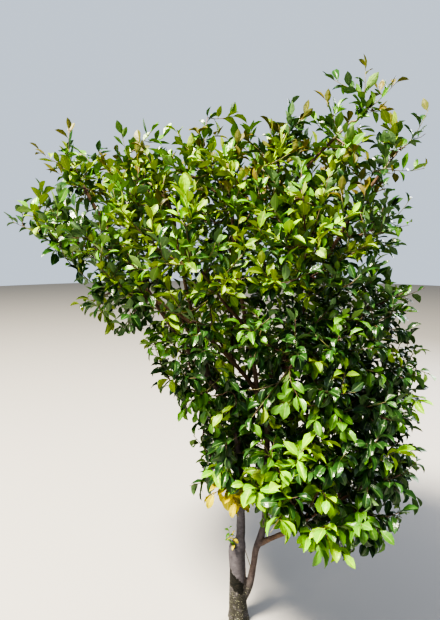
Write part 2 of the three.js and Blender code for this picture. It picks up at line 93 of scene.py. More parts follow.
# Each bough leaves its parent at a share of the parent's course, along "out", and comes to
# "tip" along "arrive". It carries a mass of foliage round "middle", whose longest shoots
# go to "leads".
boughs = [
    dict(name="left_top", parent="trunk", at=1, radii=(0.0105, 0.0065),
         out=(-0.06, 0.01, 0.078), arrive=(-0.045, -0.005, 0.11), tip=(-0.53, 0.02, 1.65),
         middle=(-0.575, 0.01, 1.76), leads=[(-0.575, 0, 1.874), (-0.704, 0, 1.782)]),
    dict(name="centre", parent="second_stem", at=1, radii=(0.0095, 0.0065),
         out=(-0.008, 0.002, 0.118), arrive=(-0.01, 0.01, 0.23), tip=(-0.028, 0.01, 1.56),
         middle=(-0.12, 0, 1.75), leads=[(-0.111, 0, 1.915), (-0.018, 0, 1.915)]),
    dict(name="diagonal", parent="second_stem", at=0.97, radii=(0.0085, 0.0055),
         out=(-0.03, -0.004, 0.08), arrive=(-0.14, -0.05, 0.07), tip=(-0.29, -0.11, 1.29),
         middle=(-0.43, -0.13, 1.34), leads=[(-0.579, 0, 1.25), (-0.461, -0.04, 1.186)]),
    dict(name="right_top", parent="second_stem", at=0.895, radii=(0.0095, 0.006),
         out=(0.08, 0.002, 0.25), arrive=(0.19, 0, 0.245), tip=(0.478, 0, 1.715),
         middle=(0.545, 0, 1.805), leads=[(0.637, 0, 1.94), (0.641, 0, 1.846), (0.638, 0, 1.701)]),
    dict(name="top", parent="centre", at=0.76, radii=(0.0075, 0.0055),
         out=(0.04, 0, 0.11), arrive=(0.11, 0, 0.105), tip=(0.306, 0, 1.815),
         middle=(0.382, 0.005, 1.89),
         leads=[(0.407, 0, 2.072), (0.278, 0, 2.03), (0.527, 0, 2.011), (0.251, 0, 1.953)]),
    dict(name="upper_left", parent="trunk", at=0.94, radii=(0.008, 0.0055),
         out=(-0.03, 0.005, 0.12), arrive=(-0.01, -0.005, 0.15), tip=(-0.228, 0.025, 1.54),
         middle=(-0.345, 0.02, 1.72), leads=[(-0.413, 0, 1.871), (-0.29, 0, 1.871)]),
    dict(name="upper_right", parent="centre", at=0.88, radii=(0.007, 0.0055),
         out=(0.03, 0.015, 0.05), arrive=(0.035, 0.01, 0.06), tip=(0.105, 0.05, 1.61),
         middle=(0.135, 0.02, 1.78), leads=[(0.169, 0, 1.95)]),
    dict(name="left_tip", parent="left_top", at=0.62, radii=(0.007, 0.005),
         out=(-0.05, -0.01, 0.04), arrive=(-0.08, -0.01, 0.045), tip=(-0.56, -0.005, 1.475),
         middle=(-0.65, -0.01, 1.53), leads=[(-0.808, 0, 1.549), (-0.765, 0, 1.61)]),
    dict(name="right", parent="right_top", at=0.72, radii=(0.007, 0.005),
         out=(0.05, -0.02, 0.035), arrive=(0.06, -0.01, 0.02), tip=(0.4, -0.04, 1.5),
         middle=(0.5, -0.03, 1.56), leads=[(0.6, 0, 1.648), (0.602, 0, 1.525)]),
    dict(name="right_middle", parent="right_top", at=0.3, radii=(0.0075, 0.0055),
         out=(0.06, -0.008, 0.022), arrive=(0.05, -0.012, 0.04), tip=(0.345, -0.045, 1.165),
         middle=(0.45, -0.09, 1.29), leads=[(0.655, -0.04, 1.33)]),
    dict(name="middle_right", parent="right_top", at=0.2, radii=(0.007, 0.005),
         out=(0.014, -0.05, 0.024), arrive=(0.01, -0.03, 0.04), tip=(0.195, -0.11, 1.075),
         middle=(0.17, -0.22, 1.14), leads=[(0.14, -0.405, 1.18)]),
    dict(name="front_right", parent="right_top", at=0.55, radii=(0.007, 0.005),
         out=(0, -0.05, 0.04), arrive=(0, -0.045, 0.05), tip=(0.19, -0.12, 1.34),
         middle=(0.19, -0.22, 1.48), leads=[(0.19, -0.415, 1.5)]),
    dict(name="front", parent="centre", at=0.45, radii=(0.007, 0.005),
         out=(-0.02, -0.05, 0.04), arrive=(-0.03, -0.045, 0.05), tip=(-0.075, -0.115, 1.305),
         middle=(-0.16, -0.21, 1.44), leads=[(-0.15, -0.415, 1.48)]),
    dict(name="right_low", parent="second_stem", at=0.815, radii=(0.008, 0.0055),
         out=(0.06, -0.005, 0.03), arrive=(0.09, -0.01, 0.03), tip=(0.345, -0.025, 0.885),
         middle=(0.47, -0.06, 0.98), leads=[(0.662, 0, 1.113), (0.667, -0.1, 1.043)]),
    dict(name="low_front", parent="second_stem", at=0.43, radii=(0.0105, 0.0065),
         out=(0.035, -0.02, 0.028), arrive=(0.034, -0.05, 0.05), tip=(0.2, -0.175, 0.52),
         middle=(0.15, -0.26, 0.69), leads=[(0.238, -0.39, 0.565), (0.06, -0.43, 0.65)]),
    dict(name="low_right", parent="low_front", at=0.5, radii=(0.0075, 0.0055),
         out=(0.05, -0.01, 0.022), arrive=(0.05, -0.02, 0.04), tip=(0.32, -0.14, 0.585),
         middle=(0.43, -0.18, 0.69), leads=[(0.457, -0.3, 0.515), (0.608, -0.2, 0.634)]),
    dict(name="low_left", parent="trunk", at=0.575, radii=(0.0075, 0.005),
         out=(-0.024, -0.03, 0.024), arrive=(-0.024, -0.024, 0.036), tip=(-0.052, -0.07, 0.615),
         middle=(-0.07, -0.11, 0.72), leads=[(-0.202, -0.05, 0.583), (-0.189, 0, 0.792)]),
    dict(name="middle_left", parent="trunk", at=0.8, radii=(0.008, 0.0055),
         out=(-0.03, -0.03, 0.03), arrive=(-0.02, -0.024, 0.04), tip=(-0.12, -0.06, 0.935),
         middle=(-0.17, -0.11, 1.06), leads=[(-0.296, 0, 0.953)]),
    dict(name="back_left", parent="trunk", at=0.955, radii=(0.009, 0.006),
         out=(-0.02, 0.06, 0.06), arrive=(-0.06, 0.06, 0.11), tip=(-0.29, 0.23, 1.31),
         middle=(-0.37, 0.29, 1.45), leads=[(-0.56, 0.33, 1.5), (-0.38, 0.535, 1.46)]),
    dict(name="back_top", parent="trunk", at=0.76, radii=(0.01, 0.006),
         out=(0.006, 0.09, 0.11), arrive=(0, 0.03, 0.22), tip=(-0.03, 0.245, 1.45),
         middle=(-0.05, 0.31, 1.64), leads=[(-0.06, 0.32, 1.86), (-0.04, 0.51, 1.64)]),
    dict(name="back_middle", parent="back_top", at=0.4, radii=(0.007, 0.005),
         out=(-0.025, 0.04, 0.03), arrive=(-0.03, 0.03, 0.04), tip=(-0.08, 0.225, 1.085),
         middle=(-0.11, 0.3, 1.18), leads=[(-0.1, 0.54, 1.2)]),
    dict(name="back_right", parent="second_stem", at=0.93, radii=(0.009, 0.006),
         out=(0.02, 0.08, 0.08), arrive=(0.04, 0.03, 0.17), tip=(0.285, 0.235, 1.385),
         middle=(0.32, 0.31, 1.56), leads=[(0.38, 0.3, 1.79), (0.33, 0.525, 1.56)]),
    dict(name="back_low_right", parent="back_right", at=0.32, radii=(0.007, 0.005),
         out=(0.04, 0.03, 0.02), arrive=(0.04, 0.025, 0.03), tip=(0.275, 0.2, 1.04),
         middle=(0.35, 0.28, 1.1), leads=[(0.575, 0.29, 1.12), (0.36, 0.53, 1.08)]),
    dict(name="back_low", parent="second_stem", at=0.65, radii=(0.008, 0.0055),
         out=(0.01, 0.04, 0.03), arrive=(0.01, 0.04, 0.03), tip=(0.14, 0.135, 0.65),
         middle=(0.17, 0.24, 0.74), leads=[(0.34, 0.34, 0.7), (0.17, 0.44, 0.74)]),
]

# The crown's outline: at each height, how far it goes to the left, right, front and back.
crown = dict(
    rows=[
        (0.44, 0.1, 0.5, -0.38, 0.2),
        (0.495, 0.01, 0.54, -0.42, 0.28),
        (0.53, -0.16, 0.58, -0.44, 0.35),
        (0.583, -0.215, 0.63, -0.45, 0.39),
        (0.634, -0.215, 0.66, -0.455, 0.42),
        (0.792, -0.205, 0.69, -0.44, 0.47),
        (0.953, -0.315, 0.70, -0.435, 0.52),
        (1.113, -0.42, 0.69, -0.435, 0.555),
        (1.25, -0.6, 0.67, -0.44, 0.565),
        (1.4, -0.675, 0.615, -0.44, 0.565),
        (1.549, -0.826, 0.595, -0.44, 0.55),
        (1.62, -0.795, 0.595, -0.42, 0.54),
        (1.74, -0.725, 0.64, -0.33, 0.48),
        (1.8, -0.72, 0.655, -0.26, 0.44),
        (1.846, -0.715, 0.658, -0.2, 0.4),
        (1.88, -0.64, 0.658, -0.16, 0.36),
        (1.925, -0.24, 0.656, -0.13, 0.3),
        (1.96, 0.06, 0.652, -0.11, 0.24),
        (2.015, 0.255, 0.545, -0.1, 0.16),
        (2.082, 0.31, 0.49, -0.08, 0.08),
    ],
    roundness=2.4,
    axis=(-0.04, 0),
    # its underside: how high it is for each x over the trunk, and how it rises to the front
    underside=[(-0.8, 0.9), (-0.3, 0.58), (-0.1, 0.42), (0, 0.395), (0.09, 0.38), (0.13, 0.3),
               (0.2, 0.265), (0.3, 0.235), (0.42, 0.19), (0.5, 0.22), (0.62, 0.32)],
    undersideRise=0.7,
)


def courseThrough(points, steps):
    # a smooth course through points, with that many steps between each two
    knots = [Vector(point) for point in points]
    knots = [2 * knots[0] - knots[1], *knots, 2 * knots[-1] - knots[-2]]
    course = []
    for before, start, end, after in zip(knots, knots[1:], knots[2:], knots[3:]):
        bend = (start + (end - before) / 6, end - (after - start) / 6)
        course += interpolate_bezier(start, *bend, end, steps + 1)[:-1]
    return course + [knots[-2]]


def pointAt(course, share):
    place = share * (len(course) - 1)
    step = min(int(place), len(course) - 2)
    return course[step].lerp(course[step + 1], place - step)


def directionAt(course, share):
    step = min(int(share * (len(course) - 1)), len(course) - 2)
    return (course[step + 1] - course[step]).normalized()


def smoothStep(value, low, high):
    share = min(max((value - low) / (high - low), 0), 1)
    return share * share * (3 - 2 * share)


def mix(start, end, share):
    return start + (end - start) * share


def trunkRadius(height):
    flare = trunk["footSpread"] * math.exp(-height / trunk["footSpreadHeight"])
    shoulder, top = trunk["shoulderHeight"], trunk["course"][-1][2]
    share = max(0, height - shoulder) / (top - shoulder)
    leader = mix(trunk["leaderRadius"], trunk["forkRadius"], share)
    above = smoothStep(height, shoulder, shoulder + trunk["shoulderLength"])
    return mix(trunk["waistRadius"] + flare, leader, above)


# Boughs swell into a collar where they leave their parent, and stay thinner than it.
limbDetail = dict(
    trunkSteps=14, stemSteps=10, boughPoints=56, mostOfParent=0.98,
    collar=0.5, collarLength=0.018, sides=20, voxel=0.0033, smoothing=3,
)


def growLimbs():
    limbs = {}
    course = courseThrough(trunk["course"], limbDetail["trunkSteps"])
    limbs["trunk"] = dict(course=course, radii=[trunkRadius(point.z) for point in course])
    course = courseThrough(secondStem["course"], limbDetail["stemSteps"])
    last = len(secondStem["radii"]) - 1
    radii = np.interp(np.linspace(0, last, len(course)), range(last + 1), secondStem["radii"])
    limbs["second_stem"] = dict(course=course, radii=list(radii))
    for bough in boughs:
        parent = limbs[bough["parent"]]
        start = pointAt(parent["course"], bough["at"])
        tip = Vector(bough["tip"])
        bend = (start + Vector(bough["out"]), tip - Vector(bough["arrive"]))
        course = interpolate_bezier(start, *bend, tip, limbDetail["boughPoints"])
        around = parent["radii"][round(bough["at"] * (len(parent["radii"]) - 1))]
        radii = []
        for i, point in enumerate(course):
            radius = mix(*bough["radii"], i / (len(course) - 1))
            outside = max(0, (point - start).length - around)
            if bough["at"] < 1:
                radius *= 1 + limbDetail["collar"] * math.exp(-outside / limbDetail["collarLength"])
            radii.append(min(radius, limbDetail["mostOfParent"] * around))
        limbs[bough["name"]] = dict(course=course, radii=radii)
    return limbs


limbs = growLimbs()


def ringMatrices(course, radii):
    # a matrix for each ring of a limb, carried along it without twist
    side = Vector((0, 1, 0))
    rings = []
    for i, (centre, radius) in enumerate(zip(course, radii)):
        along = (course[min(i + 1, len(course) - 1)] - course[max(i - 1, 0)]).normalized()
        side = (side - along * side.dot(along)).normalized()
        turn = Matrix((side, along.cross(side), along)).transposed().to_4x4()
        rings.append(Matrix.Translation(centre) @ turn @ Matrix.Scale(radius, 4))
    return rings


def meshFrom(bm, name):
    mesh = bpy.data.meshes.new(name)
    bm.to_mesh(mesh)
    return mesh


def edgesAmong(items):
    return [item for item in items if isinstance(item, bmesh.types.BMEdge)]


def extrudeLimb(course, radii, sides):
    bm = bmesh.new()
    rings = ringMatrices(course, radii)
    bmesh.ops.create_circle(bm, segments=sides, radius=1, matrix=rings[0])
    edges = firstEdges = list(bm.edges)
    for before, after in zip(rings, rings[1:]):
        grown = bmesh.ops.extrude_edge_only(bm, edges=edges)["geom"]
        verts = {item for item in grown if isinstance(item, bmesh.types.BMVert)}
        edges = [edge for edge in edgesAmong(grown) if verts.issuperset(edge.verts)]
        bmesh.ops.transform(bm, matrix=after @ before.inverted(), verts=list(verts))
    bmesh.ops.holes_fill(bm, edges=firstEdges + edges)
    bmesh.ops.recalc_face_normals(bm, faces=bm.faces)
    return meshFrom(bm, "limb")


def addObject(name, data, *materials):
    added = bpy.data.objects.new(name, data)
    bpy.context.scene.collection.objects.link(added)
    for material in materials:
        data.materials.append(material)
    return added


def finishedMesh(piece):
    # the mesh with its modifiers applied, and the piece with none left
    depsgraph = bpy.context.evaluated_depsgraph_get()
    mesh = bpy.data.meshes.new_from_object(piece.evaluated_get(depsgraph))
    piece.modifiers.clear()
    return mesh


# Every point along the limbs' axes, with the limb's radius there.
axisPoints = []
for limb in limbs.values():
    axisPoints += zip(limb["course"], limb["radii"])
axisTree = kdtree.KDTree(len(axisPoints))
for index, (point, _) in enumerate(axisPoints):
    axisTree.insert(point, index)
axisTree.balance()
thickestLimb = 0.045  # no limb has a larger radius


def isClearOfLimbs(point, gap):
    near = axisTree.find_range(point, gap + thickestLimb)
    return all(distance > axisPoints[i][1] + gap for _, i, distance in near)


# Bark relief: long swellings that grow with the limb's radius, fine ripples, and root lobes
# at the foot.
barkRelief = dict(
    swelling=0.0022, swellingLength=0.045, swellingStretch=0.35, fullRadius=0.02,
    mostSwelling=1.3, ripple=0.0005, rippleLength=0.007,
    rootLobes=5, lobeDepth=0.006, lobeHeight=0.11,
    groundCut=0.0005,  # how high the flat cut under the trunk is
)

# An old wound on the left of the trunk, where the bark is gone. It is sunk a little and
# coloured near black, partly bare wood and partly painted shade in its hollow. Its top and
# foot slope across the trunk and fade over "rim", and its sides fade between the values of
# "front" and of "right". A waver is how far an edge strays, and how many times it does so in
# a metre.
woundForm = dict(
    top=0.206, topSlope=0.96, foot=0.138, footSlope=0.57, rim=0.012,
    front=(0.002, 0.010), frontSlope=0.1, right=(0.016, 0.024), depth=0.0035,
    waver=(0.012, 70), fineWaver=(0.006, 190), frontWaver=(0.01, 90), rightWaver=(0.012, 45),
    highest=0.26, farthestRight=0.035,
)


def strayOf(point, waver):
    return waver[0] * noise.noise(point * waver[1])


def woundAndShadeShare(point):
    # 1 in the middle of the wound and 0 outside it
    form = woundForm
    if point.z >= form["highest"] or point.x >= form["farthestRight"]:
        return 0
    waver = strayOf(point, form["waver"]) + strayOf(point, form["fineWaver"])
    foot = form["foot"] - form["footSlope"] * point.x + waver
    top = form["top"] - form["topSlope"] * point.x - waver
    aboveFoot = smoothStep(point.z, foot, foot + form["rim"])
    belowTop = 1 - smoothStep(point.z, top - form["rim"], top)
    front = -point.y - form["frontSlope"] * point.x + strayOf(point, form["frontWaver"])
    right = point.x + strayOf(point, form["rightWaver"])
    facing = smoothStep(front, *form["front"])
    return min(aboveFoot, belowTop) * facing * (1 - smoothStep(right, *form["right"]))


def makeBark():
    bm = bmesh.new()
    for limb in limbs.values():
        bm.from_mesh(extrudeLimb(limb["course"], limb["radii"], limbDetail["sides"]))
    piece = addObject("bark", meshFrom(bm, "roughLimbs"))
    fused = piece.modifiers.new("fused", "REMESH")
    fused.mode = "VOXEL"
    fused.voxel_size = limbDetail["voxel"]
    fused.use_smooth_shade = True
    smoothed = piece.modifiers.new("smoothed", "SMOOTH")
    smoothed.factor = 0.5
    smoothed.iterations = limbDetail["smoothing"]
    piece.data = finishedMesh(piece)

    mesh = piece.data
    relief = barkRelief
    girths, woundAndShadeShares, places = [], [], []
    for vertex in mesh.vertices:
        point = vertex.co
        girth = axisPoints[axisTree.find(point)[1]][1]
        wound = woundAndShadeShare(point)
        streak = Vector((point.x, point.y, point.z * relief["swellingStretch"]))
        swelling = relief["swelling"] * min(girth / relief["fullRadius"], relief["mostSwelling"])
        lift = swelling * noise.noise(streak / relief["swellingLength"])
        lift += relief["ripple"] * noise.noise(point / relief["rippleLength"])
        lobe = math.cos(relief["rootLobes"] * math.atan2(point.y, point.x))
        lift += relief["lobeDepth"] * max(0, 1 - point.z / relief["lobeHeight"]) ** 2 * lobe
        lift -= woundForm["depth"] * wound
        places.extend(point + vertex.normal * lift)
        girths.append(girth)
        woundAndShadeShares.append(wound)
    mesh.vertices.foreach_set("co", places)
    for name, values in (("girth", girths), ("wound", woundAndShadeShares)):
        mesh.attributes.new(name, "FLOAT", "POINT").data.foreach_set("value", values)

    # the flat cut at the ground
    bm = bmesh.new()
    bm.from_mesh(mesh)
    cut = bmesh.ops.bisect_plane(
        bm, geom=[*bm.verts, *bm.edges, *bm.faces], plane_co=(0, 0, relief["groundCut"]),
        plane_no=(0, 0, 1), clear_inner=True)
    bmesh.ops.holes_fill(bm, edges=edgesAmong(cut["geom_cut"]))
    bm.to_mesh(mesh)
    return piece


# A mass of foliage: a stem from its bough's tip, and shoots that branch from it and from
# each other, each to the place in the mass that is farthest from the shoots before it.
shootRule = dict(
    seed=1000, candidates=1500, reach=0.33, spaceGap=0.012, mostShoots=115,
    spacing=0.053, denseSpacing=0.045, openSpacing=0.066,
    inset=0.068, highInset=0.09, insetHeights=(1.5, 1.7), leadInset=0.03,
    turnCost=0.8, pathCost=0.15, fallCost=2,
    stemSink=0.006, stemReach=0.8, stemBend=0.5, stemPoints=9, stemJoints=6,
    keep=0.45, aim=0.55, shootBend=0.45, shootStep=0.022, fewestPoints=4, shootJoints=4,
    lift=(-0.06, 0.4), liftHeights=(0.95, 1.75), wander=0.1, limbGap=0.002,
    tipRadius=0.0009, taper=1.2, loadShare=0.8,
)

# The masses at the middle and low on the right, the low ones in front and those behind them
# are denser, and the ones before the forks are thinner.
denseMasses = ["middle_right", "right_middle", "right_low", "low_right", "front_right",
               "back_right", "back_low_right", "back_middle", "back_low", "low_front"]
openMasses = ["middle_left", "front"]


def spaceOf(middle):
    # a mass keeps to the points that are nearer to its middle than to any other's
    faces = []
    for other in (bough["middle"] for bough in boughs if bough["middle"] != middle):
        inward = (Vector(middle) - Vector(other)).normalized()
        faces.append((inward, inward.dot((Vector(middle) + Vector(other)) / 2)))
    return faces


def isInSpace(faces, point, margin):
    return all(inward.dot(point) - offset > margin for inward, offset in faces)


crownRows = np.array(crown["rows"])
underside = np.array(crown["underside"])


def isInCrown(point, inset):
    # inside the crown's outline and that far from its sides, its top and its underside
    base = np.interp(point.x, underside[:, 0], underside[:, 1])
    base -= crown["undersideRise"] * min(point.y, 0)
    if point.z < base + inset:
        return False
    for height, side in ((point.z, inset), (point.z + inset, 0)):
        if not crownRows[0, 0] < height < crownRows[-1, 0]:
            return False
        left, right, near, far = (
            np.interp(height, crownRows[:, 0], crownRows[:, i]) for i in range(1, 5))
        across = abs(2 * point.x - left - right) / (right - left - 2 * side)
        deep = abs(2 * point.y - near - far) / (far - near - 2 * side)
        if across ** crown["roundness"] + deep ** crown["roundness"] > 1:
            return False
    return True


def isInBox(point, margin):
    low, high = cadBox
    return all(low[i] - margin < point[i] < high[i] + margin for i in range(3))


def shootEnds(bough, faces, draw):
    rule = shootRule
    middle = Vector(bough["middle"])
    candidates = []
    for _ in range(rule["candidates"]):
        place = middle + rule["reach"] * Vector([draw.uniform(-1, 1) for _ in range(3)])
        high = smoothStep(place.z, *rule["insetHeights"])
        inset = mix(rule["inset"], rule["highInset"], high)
        if isInCrown(place, inset) and isInSpace(faces, place, rule["spaceGap"]):
            candidates.append(place)
    leads = [Vector(lead) for lead in bough["leads"]]
    ends = [lead + rule["leadInset"] * (middle - lead).normalized() for lead in leads]
    places = np.array(candidates)
    room = np.min([np.linalg.norm(places - np.array(end), axis=1) for end in ends], axis=0)
    spacing = rule["spacing"]
    if bough["name"] in denseMasses:
        spacing = rule["denseSpacing"]
    elif bough["name"] in openMasses:
        spacing = rule["openSpacing"]
    while room.max() > spacing and len(ends) < rule["mostShoots"]:
        widest = int(room.argmax())
        ends.append(candidates[widest])
        room = np.minimum(room, np.linalg.norm(places - places[widest], axis=1))
    return ends


def jointsOf(twig, count):
    # the places along a twig where others may branch from it
    course = twig["course"]
    length = (course[-1] - course[0]).length
    shares = [i / count for i in range(1, count + 1)]
    return [dict(twig=twig, at=share, point=pointAt(course, share),
                 along=directionAt(course, share), pathLength=twig["pathLength"] + length * share)
            for share in shares]


def bestJoint(joints, end):
    # near, not far along its twig, with no sharp turn, and not from above high in the crown
    rule = shootRule
    points = np.array([joint["point"] for joint in joints])
    alongs = np.array([joint["along"] for joint in joints])
    lengths = np.array([joint["pathLength"] for joint in joints])
    towards = np.array(end) - points
    distance = np.linalg.norm(towards, axis=1)
    turn = 1 - np.einsum("ij,ij->i", towards, alongs) / np.maximum(distance, 1e-6)
    fall = np.maximum(-towards[:, 2], 0) * smoothStep(end.z, *rule["liftHeights"])
    cost = distance * (1 + rule["turnCost"] * turn)
    cost += rule["pathCost"] * lengths
    cost += rule["fallCost"] * fall
    return joints[int(cost.argmin())]


def quadratic(start, bend, end, count):
    return interpolate_bezier(start, start.lerp(bend, 2 / 3), end.lerp(bend, 2 / 3), end, count)


def shootCourse(joint, end, draw):
    # it leaves along its twig, rises high in the crown and wanders a little
    rule = shootRule
    towards = end - joint["point"]
    length = towards.length
    along = joint["along"] * rule["keep"] + towards.normalized() * rule["aim"]
    bend = joint["point"] + along.normalized() * length * rule["shootBend"]
    lift = mix(*rule["lift"], smoothStep(end.z, *rule["liftHeights"]))
    bend.z -= lift * length
    bend += length * rule["wander"] * Vector([draw.uniform(-1, 1) for _ in range(3)])
    count = max(rule["fewestPoints"], round(length / rule["shootStep"]))
    return quadratic(joint["point"], bend, end, count)


def setRadii(twigs):
    # a twig is as thick as what it carries asks
    rule = shootRule
    tipArea = rule["tipRadius"] ** 2
    for twig in reversed(twigs):
        last = len(twig["course"]) - 1
        twig["radii"] = []
        for share in [i / last for i in range(last + 1)]:
            carried = sum(area for at, area in twig["loads"] if at >= share)
            own = tipArea * (1 + rule["taper"] * (1 - share))
            twig["radii"].append(math.sqrt(own + carried))
        if twig["parent"]:
            load = rule["loadShare"] * twig["radii"][0] ** 2
            twig["parent"]["loads"].append((twig["at"], load))


def growMass(bough, order):
    # the stem and shoots of a mass, each with its course, its radii and its parent
    rule = shootRule
    draw = random.Random(rule["seed"] + order)
    faces = spaceOf(bough["middle"])
    limb = limbs[bough["name"]]
    direction = directionAt(limb["course"], 1)
    start = limb["course"][-1] - direction * rule["stemSink"]
    end = start.lerp(Vector(bough["middle"]), rule["stemReach"])
    bend = start + direction * (end - start).length * rule["stemBend"]
    stem = dict(course=quadratic(start, bend, end, rule["stemPoints"]), parent=None,
                pathLength=0, mass=bough["name"], loads=[], isLead=False, isLeafy=False)
    twigs = [stem]
    joints = jointsOf(stem, rule["stemJoints"])
    for i, end in enumerate(shootEnds(bough, faces, draw)):
        joint = bestJoint(joints, end)
        course = shootCourse(joint, end, draw)
        if not all(isClearOfLimbs(point, rule["limbGap"]) for point in course[2:]):
            continue
        twig = dict(course=course, parent=joint["twig"], at=joint["at"],
                    pathLength=joint["pathLength"], mass=bough["name"], loads=[],
                    isLead=i < len(bough["leads"]), isLeafy=True)
        twigs.append(twig)
        joints += jointsOf(twig, rule["shootJoints"])
    setRadii(twigs)
    ending = limb["radii"][-1]
    stem["radii"] = [ending] + [min(radius, ending) for radius in stem["radii"][1:]]
    return twigs


twigs = [twig for order, bough in enumerate(boughs) for twig in growMass(bough, order)]

# Beside the masses, young sprigs stand by the trunk's shoulder and a thin dead twig between
# the two stems.
strays = [
    dict(course=[(-0.022, -0.008, 0.318), (-0.034, -0.02, 0.36), (-0.038, -0.026, 0.408)],
         radius=0.0014, mass="sprig", isLeafy=True, leafSize=0.6),
    dict(course=[(-0.014, -0.02, 0.322), (-0.014, -0.034, 0.355), (-0.024, -0.04, 0.392)],
         radius=0.0012, mass="sprig", isLeafy=True, leafSize=0.42),
    dict(course=[(0.052, -0.008, 0.222), (0.037, -0.012, 0.272), (0.016, -0.012, 0.344)],
         radius=0.0018, mass="dead", isLeafy=False),
]
strayPoints = 8
for stray in strays:
    course = quadratic(*[Vector(point) for point in stray["course"]], strayPoints)
    radii = np.linspace(stray["radius"], shootRule["tipRadius"], strayPoints)
    twigs.append(dict(stray, course=course, radii=radii, loads=[], isLead=True))
print("twigs grown:", len(twigs))

mergeDistance = 0.00002  # far less than any edge of a twig


def makeTwigs(name, grown, material):
    curve = bpy.data.curves.new(name, "CURVE")
    curve.dimensions = "3D"
    curve.bevel_depth = 1  # the points' radii give the thickness
    curve.bevel_resolution = 1
    curve.use_fill_caps = True
    for twig in grown:
        spline = curve.splines.new("POLY")
        spline.points.add(len(twig["course"]) - 1)
        for point, place, radius in zip(spline.points, twig["course"], twig["radii"]):
            point.co = (*place, 1)
            point.radius = radius
    holder = addObject(name + "Curve", curve)
    mesh = finishedMesh(holder)
    bpy.data.objects.remove(holder)
    mesh.name = name
    bm = bmesh.new()
    bm.from_mesh(mesh)
    bmesh.ops.remove_doubles(bm, verts=bm.verts, dist=mergeDistance)
    bmesh.ops.recalc_face_normals(bm, faces=bm.faces)
    bm.to_mesh(mesh)
    mesh.shade_smooth()
    return addObject(name, mesh, material)


# A leaf one unit long: its outline, and the shapes that it takes. Bend and twist are in
# radians from its base to its tip, and fold is in radians at each side of its middle rib.
leafForm = dict(
    rows=[0, 0.12, 0.31, 0.57, 0.82, 1],
    halfWidths=[0.05, 0.1, 0.7, 1, 0.6, 0],
    upperStrips=4, lowerStrips=2, bendPower=1.2,
    thickness=0.012, thickBase=1.4, mergeDistance=0.0005,
    shapes=[
        dict(bend=0.25, fold=0.4, twist=0.05, width=0.53, bulge=0.06),
        dict(bend=0.65, fold=0.3, twist=0.25, width=0.54, bulge=0.08),
        dict(bend=1.1, fold=0.4, twist=-0.35, width=0.51, bulge=0.1),
        dict(bend=1.6, fold=0.5, twist=0.4, width=0.49, bulge=0.12),
        dict(bend=0.8, fold=0.65, twist=-0.2, width=0.52, bulge=0.06),
        dict(bend=-0.25, fold=0.35, twist=0.2, width=0.51, bulge=0.05),
    ],
)


def addLeafFace(bm, isUpper, bend, fold, twist, width, bulge):
    # a flat grid with its texture coordinates, then bent row by row
    form = leafForm
    rows = form["rows"]
    steps = len(rows) - 1
    uvLayer = bm.loops.layers.uv.verify()
    verts = bmesh.ops.create_grid(bm, x_segments=form["upperStrips" if isUpper else "lowerStrips"],
                                  y_segments=steps, size=1)["verts"]
    rowOf = {vert: round((vert.co.y + 1) / 2 * steps) for vert in verts}
    for face in {face for vert in verts for face in vert.link_faces}:
        for loop in face.loops:
            loop[uvLayer].uv = (loop.vert.co.x * 0.5 + 0.5, rows[rowOf[loop.vert]])
        face.material_index = 0 if isUpper else 1
        face.smooth = True
        if not isUpper:
            face.normal_flip()
    centre, lastShare = Vector((0, 0, 0)), 0
    for row, share in enumerate(rows):
        angle = bend * share ** form["bendPower"]
        centre = centre + Vector((0, math.cos(angle), -math.sin(angle))) * (share - lastShare)
        lastShare = share
        half = form["halfWidths"][row] * width / 2
        turn = Matrix.Rotation(-angle, 4, "X") @ Matrix.Rotation(twist * share, 4, "Y")
        for vert in [vert for vert in verts if rowOf[vert] == row]:
            across = vert.co.x
            aside = abs(across)
            rise = aside * half * math.sin(fold) + bulge * half * (1 - (2 * aside - 1) ** 2)
            if not isUpper:
                rise -= form["thickness"] * (1 - aside) * (form["thickBase"] - share)
            vert.co = centre + turn @ Vector((across * half * math.cos(fold), 0, rise))


def makeLeafShape(shape):
    # an upper and a lower face that meet at a sharp edge
    bm = bmesh.new()
    for isUpper in (True, False):
        addLeafFace(bm, isUpper, **shape)
    bmesh.ops.remove_doubles(bm, verts=bm.verts, dist=leafForm["mergeDistance"])
    for edge in bm.edges:
        edge.smooth = len({face.material_index for face in edge.link_faces}) < 2
    return meshFrom(bm, "leafShape")


# What makes up a mesh: for each array, the list and the property that hold it, how many
# values an item has, and their kind.
meshArrays = dict(
    verts=("vertices", "co", 3, np.float64),
    edges=("edges", "vertices", 2, np.int32),
    corners=("loops", "vertex_index", 1, np.int32),
    sides=("loops", "edge_index", 1, np.int32),
    starts=("polygons", "loop_start", 1, np.int32),
    slots=("polygons", "material_index", 1, np.int32),
    sharp=("edges", "use_edge_sharp", 1, bool),
)


def readArray(items, key, size, kind):
    values = np.empty(len(items) * size, kind)
    items.foreach_get(key, values)
    return values.reshape(-1, size) if size > 1 else values


def arraysOf(mesh):
    arrays = {name: readArray(getattr(mesh, items), key, size, kind)
              for name, (items, key, size, kind) in meshArrays.items()}
    arrays["uv"] = readArray(mesh.uv_layers[0].data, "uv", 2, np.float64)
    return arrays


leafShapes = [arraysOf(makeLeafShape(shape)) for shape in leafForm["shapes"]]


